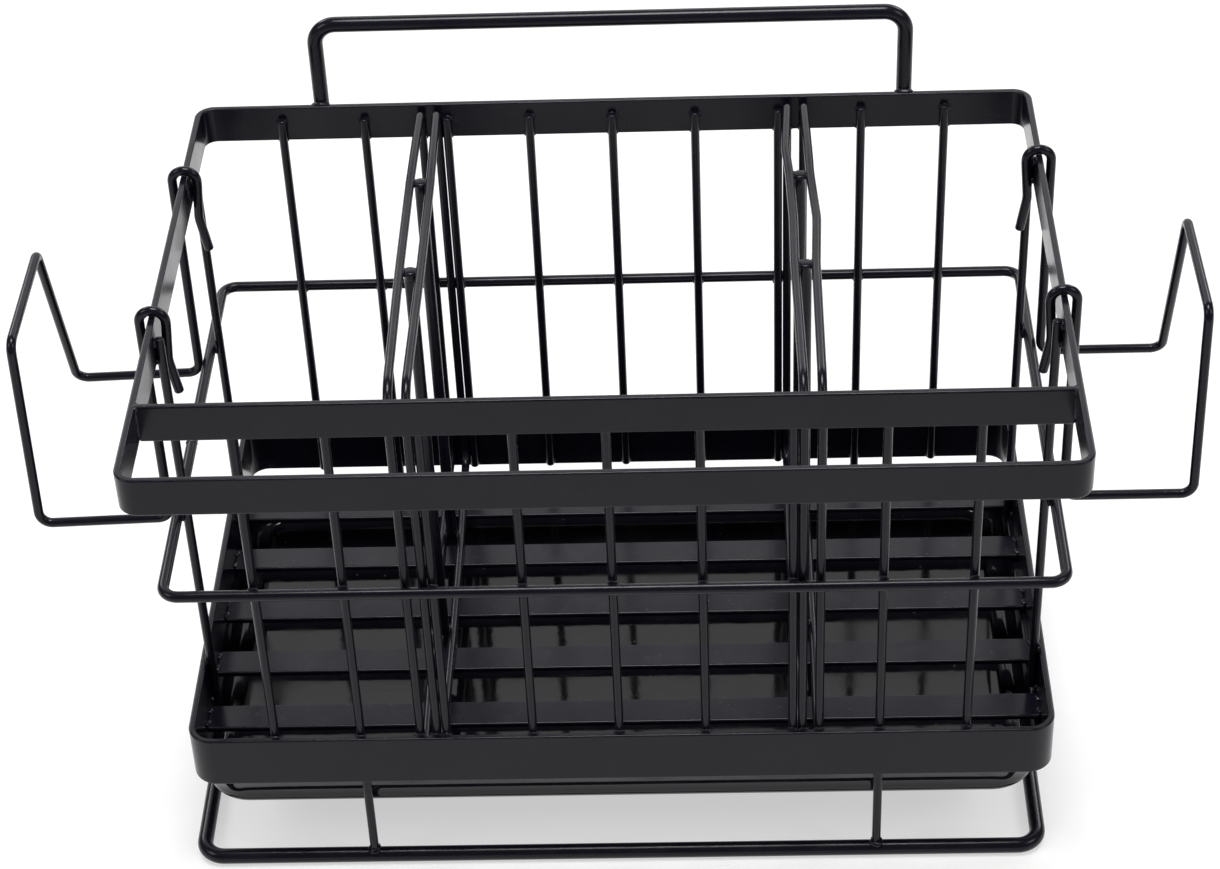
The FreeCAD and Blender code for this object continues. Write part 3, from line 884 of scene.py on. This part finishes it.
def divider_loop(side, s, which):
    """One loop of a divider: a closed wire that bows out round the two bars."""
    d = sizes("dividers")
    node = "divider_%s_%s_loop" % (side, which)
    lo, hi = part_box(node)
    r = WIRE_D / 2.0
    outward = s if which == "outer" else -s
    far, near = (hi.x - r, lo.x + r) if outward > 0 else (lo.x + r, hi.x - r)
    rear_bar = middle("divider_%s_rear_bar" % side).y
    front_bar = middle("divider_%s_front_bar" % side).y
    y0, y1, z0, z1 = lo.y + r, hi.y - r, lo.z + r, hi.z - r
    top = [(far, front_bar, z1), (far, rear_bar, z1)]
    bends = [d.foot_bend, d.front_bend, d.bow_bend, d.bow_bend, d.rear_bend, d.foot_bend,
             d.bow_bend, d.bow_bend]
    if side == "right":
        share = 1.0 if which == "outer" else INNER_SWAY
        between = (far + share * d.sway, (front_bar + rear_bar) / 2.0, z1)
        behind = (far - (BACK_SWAY - share) * d.sway,
                  rear_bar + BACK_SWAY_PLACE * (y1 - rear_bar), z1)
        top = [top[0], between, top[1], behind]
        bends[4:4] = [d.bow_bend * part for part in SWAY_BENDS]
    points = ([(near, y0, z0), (near, y0, z1)] + top
              + [(near, y1, z1), (near, y1, z0), (far, rear_bar, z0), (far, front_bar, z0)])
    shell = Shell()
    add_wire(shell, points, WIRE_D, bends, True, (1, 0, 0))
    pick = seeded(node)
    levels = (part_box("top_band")[0].z + LOOP_WELD_IN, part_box("bottom_band")[1].z - LOOP_WELD_IN)
    for y in (y0 - r, y1 + r):
        for z in levels:
            weld_beside(shell, (near, y, z), "x", LOOP_WELD_LENGTH, pick.random() * LOOP_SEED_SPAN)
    shell.piece(node, node + "_wire")


def divider_bar(side, end):
    """A bar between the two loops, with its pressed head and the welds that join it to them."""
    d = sizes("dividers")
    node = "divider_%s_%s_bar" % (side, end)
    lo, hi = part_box(node)
    x, y, _ = centre_of(lo, hi)
    thickness = hi.x - lo.x
    shell = Shell()
    add_wire(shell, [(x, y, lo.z), (x, y, hi.z)], thickness, up=(0, 1, 0), end_swell=d.head_flare,
             swell_length=d.head_height)
    pick = seeded(node)
    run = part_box("divider_%s_inner_loop" % side)[1].z - WIRE_D / 2.0
    spots = ((run - LOOP_WELD_SINK, LOOP_TOP_WELD), (lo.z + WIRE_D / 2.0, LOOP_FOOT_WELD))
    for way in (-1.0, 1.0):
        for z, reach in spots:
            place = (x + way * thickness / 2.0, y, z)
            add_weld(shell, place, reach, pick.random() * LOOP_SEED_SPAN)
    shell.piece(node, node + "_wire")


class RACK_OT_dividers(Operator):
    """Builds the two dividers, each of two wire loops and two bars"""
    bl_idname = "rack.dividers"
    bl_label = "Dividers"

    def execute(self, context):
        for side, s in SIDES:
            for which in ("inner", "outer"):
                divider_loop(side, s, which)
            for end in ("rear", "front"):
                divider_bar(side, end)
        return {"FINISHED"}


def level_ring(node, bend, seam_side):
    """A closed ring of round wire lying level, with its butt weld."""
    lo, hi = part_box(node)
    r = (hi.z - lo.z) / 2.0
    z = centre_of(lo, hi)[2]
    x0, x1, y0, y1 = lo.x + r, hi.x - r, lo.y + r, hi.y - r
    shell = Shell()
    add_wire(shell, level_corners(x0, x1, y0, y1, z), 2.0 * r, bend, True)
    swell = r * (1.0 + sizes("welds").butt_swell)
    seam_z, low = z + SEAM_LIFT * r, SEAM_DEPTH * r
    if seam_side == "left":
        place, reach = (x0, y0 + HOOP_SEAM_PLACE * (y1 - y0), seam_z), (swell, SEAM_LENGTH, low)
    else:
        place, reach = (x0 + FOOT_SEAM_PLACE * (x1 - x0), y1, seam_z), (SEAM_LENGTH, swell, low)
    add_weld(shell, place, reach, len(node))
    shell.piece(node, node + "_wire")


class RACK_OT_rings(Operator):
    """Builds the middle hoop, the foot ring, the rear rail and the rails under the tray"""
    bl_idname = "rack.rings"
    bl_label = "Hoop, foot and rails"

    def execute(self, context):
        rings = sizes("rings")
        level_ring("middle_hoop", rings.hoop_bend, "left")
        level_ring("foot_ring", rings.foot_bend, "rear")
        lo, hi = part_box("rear_rail")
        r = (hi.y - lo.y) / 2.0
        y = centre_of(lo, hi)[1]
        x0, x1, z1 = lo.x + r, hi.x - r, hi.z - r
        shell = Shell()
        add_wire(shell, [(x0, y, lo.z), (x0, y, z1), (x1, y, z1), (x1, y, lo.z)], 2.0 * r,
                 rings.rail_bend, up=(0, 1, 0))
        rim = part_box("top_band")[1].z
        for k, x in enumerate((x0, x1)):
            add_weld(shell, (x, y - r, rim - RAIL_TOP_DROP), REAR_RAIL_TOP_WELD, 5.0 + k)
            add_weld(shell, (x, y - r, rim - RAIL_SIDE_DROP), REAR_RAIL_SIDE_WELD, 8.0 + k)
        shell.piece("rear_rail", "rear_rail_wire")
        for node in ("tray_rail_front", "tray_rail_rear"):
            lo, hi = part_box(node)
            _, y, z = centre_of(lo, hi)
            shell = Shell()
            add_wire(shell, [(lo.x, y, z), (hi.x, y, z)], hi.z - lo.z)
            shell.piece(node, node + "_wire")
        return {"FINISHED"}


def hook_corners(s, y, r, rim, z_hook):
    """Corners of a hook on the side s, from the end of its tail over to its outer top."""
    h = sizes("hangers")
    bar_mid = rim.x - BAR_T / 2.0
    wide = BAR_T / 2.0 + h.bulge + r
    near = BAR_T / 2.0 + h.pinch_gap + r
    z_pinch = rim.z - h.pinch_drop
    return [(s * (bar_mid - near - h.flare), y, z_pinch - h.tail),
            (s * (bar_mid - near), y, z_pinch),
            (s * (bar_mid - wide), y, z_hook - wide - h.shoulder),
            (s * (bar_mid - wide), y, z_hook), (s * (bar_mid + wide), y, z_hook)]


def hanger_piece(side, s):
    """One hanger: two keyhole hooks with flared tails, joined by a frame of bent wire."""
    h = sizes("hangers")
    node = side + "_hanger"
    lo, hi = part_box(node)
    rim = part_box("top_band")[1]
    r = (hi.z - rim.z - h.clearance) / 2.0
    leg_x = s * (max(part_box("middle_hoop")[1].x, rim.x) + h.clearance + r)
    sag, spread = (h.sag, h.spread) if side == "left" else (0.0, 0.0)
    out_x = s * (max(abs(lo.x), abs(hi.x)) - r + spread)
    z_hook, z_arm, z_out = hi.z - r, lo.z + r, rim.z - h.top_drop
    y_front, y_rear = lo.y + r, hi.y - r
    z_leg, z_arm, z_out = z_arm - LEG_SAG * sag, z_arm - sag, z_out - sag
    points = (hook_corners(s, y_front, r, rim, z_hook)
              + [(leg_x, y_front, z_leg), (out_x, y_front, z_arm),
                 (out_x, y_front + h.front_lean, z_out), (out_x, y_rear - h.lean, z_out),
                 (out_x, y_rear, z_arm), (leg_x, y_rear, z_leg)]
              + hook_corners(s, y_rear, r, rim, z_hook)[::-1])
    round_top = BAR_T / 2.0 + h.bulge + r - BEND_SLACK
    hook_bends = [h.flare_bend] * 2 + [round_top] * 2
    shell = Shell()
    add_wire(shell, points, 2.0 * r, hook_bends + [h.bend] * 6 + hook_bends[::-1], up=(0, 1, 0))
    shell.piece(node, node + "_wire")


class RACK_OT_hangers(Operator):
    """Builds the two hangers that hook over the side bars"""
    bl_idname = "rack.hangers"
    bl_label = "Hangers"

    def execute(self, context):
        for side, s in SIDES:
            hanger_piece(side, s)
        return {"FINISHED"}


def tray_loop(half, corner_r, centre, z):
    """Points round a rectangle with rounded corners, the same number for every size."""
    arcs = []
    for k, (sx, sy) in enumerate(((1, -1), (1, 1), (-1, 1), (-1, -1))):
        cx, cy = centre[0] + sx * (half[0] - corner_r), centre[1] + sy * (half[1] - corner_r)
        turns = [math.radians(90.0 * (k - 1) + 90.0 * j / TRAY_CORNER_STEPS)
                 for j in range(TRAY_CORNER_STEPS + 1)]
        arcs.append([(cx + corner_r * math.cos(t), cy + corner_r * math.sin(t), z) for t in turns])
    points = []
    for k, arc in enumerate(arcs):
        steps = TRAY_SIDE_STEPS[k % 2]
        points.extend(arc)
        points.extend(tuple(a + (b - a) * j / steps for a, b in zip(arc[-1], arcs[(k + 1) % 4][0]))
                      for j in range(1, steps))
    return points


def arc_profile(across, height, radius, start, stop, steps):
    """(inset, height) points along an arc about a centre, angles in degrees."""
    turns = [math.radians(start + (stop - start) * k / steps) for k in range(steps + 1)]
    return [(across + radius * math.cos(t), height + radius * math.sin(t)) for t in turns]


def tray_outline(t, depth):
    """(inset, height) from the panel's underside, round the wall and the rim, to its top."""
    edge = t.rim * RIM_ROUNDING
    foot = t.lip + t.draft
    inner_r = t.foot_r - t.wall
    panel, below = foot + t.gutter, foot + t.gutter + t.wall
    bend, foot_edge, neck, mouth, shoulder = mm(1.0, 0.5, 0.6, 0.7, 1.2)
    return (arc_profile(below + bend, t.rise - bend, bend, 90.0, 180.0, 5)
            + arc_profile(below - foot_edge, foot_edge, foot_edge, 0.0, -90.0, 4)
            + arc_profile(foot + t.foot_r, t.foot_r, t.foot_r, 270.0, 180.0, 8)
            + [(t.lip + WALL_STEP, depth - t.rim - neck)]
            + arc_profile(t.lip - neck, depth - t.rim - neck, neck, 0.0, 90.0, 3)
            + arc_profile(edge, depth - t.rim + edge, edge, 270.0, 180.0, 4)
            + arc_profile(edge, depth - edge, edge, 180.0, 90.0, 4)
            + arc_profile(t.lip + t.wall - mouth, depth - mouth, mouth, 90.0, 0.0, 4)
            + arc_profile(foot + t.wall + inner_r, t.floor + inner_r, inner_r, 180.0, 270.0, 8)
            + arc_profile(panel - bend, t.floor + bend, bend, 270.0, 360.0, 5)
            + arc_profile(panel + shoulder, t.floor + t.rise - shoulder, shoulder, 180.0, 90.0, 6))


class RACK_OT_drip_tray(Operator):
    """Builds the moulded drip tray with its rim, gutter and slightly wavy floor"""
    bl_idname = "rack.drip_tray"
    bl_label = "Drip tray"

    def execute(self, context):
        t = sizes("tray")
        lo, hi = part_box("drip_tray")
        centre = centre_of(lo, hi)
        outline = tray_outline(t, hi.z - lo.z)
        edge = t.rim * RIM_ROUNDING

        def ring(inset, height):
            half = ((hi.x - lo.x) / 2.0 - inset, (hi.y - lo.y) / 2.0 - inset)
            corner_r = max(t.corner_r + t.lip - inset, LEAST_CORNER)
            return tray_loop(half, corner_r, centre, lo.z + height)

        def shrunk(points, share):
            return [(centre[0] + (x - centre[0]) * share, centre[1] + (y - centre[1]) * share, z)
                    for x, y, z in points]

        def wave(x, y):
            return noise.noise(Vector((x * WAVES, y * WAVES, WAVE_SEED))) * t.wave

        loops = [shrunk(ring(*outline[0]), share) for share in UNDERSIDE_SHARES]
        # the rim's rounded edge takes the wear mask, a painted highlight as well as wear
        rub = [0.0] * len(loops) + [RIM_RUB_AND_HIGHLIGHT if inset < edge else 0.0 for inset, _ in outline]
        loops.extend(ring(inset, height) for inset, height in outline)
        for share in FLOOR_SHARES:
            fade = min(1.0, (1.0 - share) * WAVE_FADE)
            loops.append([(x, y, z + wave(x, y) * fade)
                          for x, y, z in shrunk(ring(*outline[-1]), share)])
            rub.append(0.0)
        count = len(loops[0])
        shell = Shell()
        shell.add([p for loop in loops for p in loop], ring_faces(len(loops), count, False),
                  np.repeat(rub, count))
        shell.piece("drip_tray", "drip_tray_shell")
        return {"FINISHED"}


# ---------------------------------------------------------------------------- stage
FLOOR_HALF = 12.0
LIGHT_TARGET = (0.0, 0.0, 0.1)


def softbox(name, place, width, height, watts):
    data = bpy.data.lights.new(name, "AREA")
    data.shape = "RECTANGLE"
    data.size, data.size_y, data.energy = width, height, watts
    light = bpy.data.objects.new(name, data)
    bpy.context.scene.collection.objects.link(light)
    light.location = place
    aim = Vector(LIGHT_TARGET) - Vector(place)
    light.rotation_euler = aim.to_track_quat("-Z", "Y").to_euler()


class RACK_OT_stage(Operator):
    """Builds the pale floor, the soft studio lights and the camera"""
    bl_idname = "rack.stage"
    bl_label = "Stage"

    def execute(self, context):
        stage = sizes("stage")
        scene = context.scene
        mesh = bpy.data.meshes.new("studio_floor")
        mesh.from_pydata(level_corners(-FLOOR_HALF, FLOOR_HALF, -FLOOR_HALF, FLOOR_HALF, 0.0), [],
                         [(0, 1, 2, 3)])
        floor = bpy.data.objects.new("studio_floor", mesh)
        scene.collection.objects.link(floor)
        floor.data.materials.append(finish("floor"))
        softbox("overhead_softbox", (0.0, -0.05, 1.3), 0.5, 0.36, stage.overhead)
        softbox("backdrop_softbox", (0.0, 2.0, 1.3), 3.4, 1.9, stage.backdrop)
        for side, s in SIDES:
            softbox(side + "_front_softbox", (s * 1.1, -0.45, 1.0), 0.5, 0.5, stage.front)
            softbox(side + "_rear_softbox", (s * 0.95, 1.1, 0.95), 0.45, 0.45, stage.rear)
        world = bpy.data.worlds.new("studio")
        world.use_nodes = True
        surround = world.node_tree.nodes["Background"]
        surround.inputs["Color"].default_value = (1.0, 1.0, 1.0, 1.0)
        surround.inputs["Strength"].default_value = stage.surround
        scene.world = world
        scene.view_settings.view_transform = "Standard"
        lens = bpy.data.cameras.new("studio_camera")
        lens.lens, lens.sensor_width = stage.lens, 36.0
        lens.clip_start, lens.clip_end = 0.02, 20.0
        camera = bpy.data.objects.new("studio_camera", lens)
        scene.collection.objects.link(camera)
        cy, sy, cp, sp = (math.cos(stage.yaw), math.sin(stage.yaw), math.cos(stage.pitch),
                          math.sin(stage.pitch))
        level_right = Vector((cy, sy, 0.0))
        ahead = Vector((-sy * cp, cy * cp, -sp))
        level_up = level_right.cross(ahead)
        right = level_right * math.cos(stage.roll) + level_up * math.sin(stage.roll)
        up = level_up * math.cos(stage.roll) - level_right * math.sin(stage.roll)
        turned = Matrix((right, up, -ahead)).transposed().to_4x4()
        camera.matrix_world = Matrix.Translation(stage.eye) @ turned
        scene.camera = camera
        return {"FINISHED"}


# --------------------------------------------------------------------------- add-on
class RACK_PT_panel(Panel):
    """Sizes, colours and build steps of the dish drying rack"""
    bl_idname = "RACK_PT_panel"
    bl_label = "Dish Rack"
    bl_space_type = "VIEW_3D"
    bl_region_type = "UI"
    bl_category = "Dish Rack"

    def draw(self, context):
        layout = self.layout
        for operator in OPERATORS:
            layout.operator(operator.bl_idname)
        for name, group in SETTINGS.items():
            box = layout.box()
            box.label(text=name.replace("rack_", "").capitalize())
            settings = getattr(context.scene, name)
            for prop in group.__annotations__:
                box.prop(settings, prop)


OPERATORS = (RACK_OT_flat_bars, RACK_OT_uprights, RACK_OT_dividers, RACK_OT_rings, RACK_OT_hangers,
             RACK_OT_drip_tray, RACK_OT_stage)
CLASSES = (*SETTINGS.values(), *OPERATORS, RACK_PT_panel)


def register():
    for cls in CLASSES:
        bpy.utils.register_class(cls)
    for name, group in SETTINGS.items():
        setattr(bpy.types.Scene, name, PointerProperty(type=group))


def unregister():
    for name in SETTINGS:
        delattr(bpy.types.Scene, name)
    for cls in reversed(CLASSES):
        bpy.utils.unregister_class(cls)


def main():
    register()
    for operator in OPERATORS:
        group, name = operator.bl_idname.split(".")
        getattr(getattr(bpy.ops, group), name)()


if __name__ == "__main__":
    main()
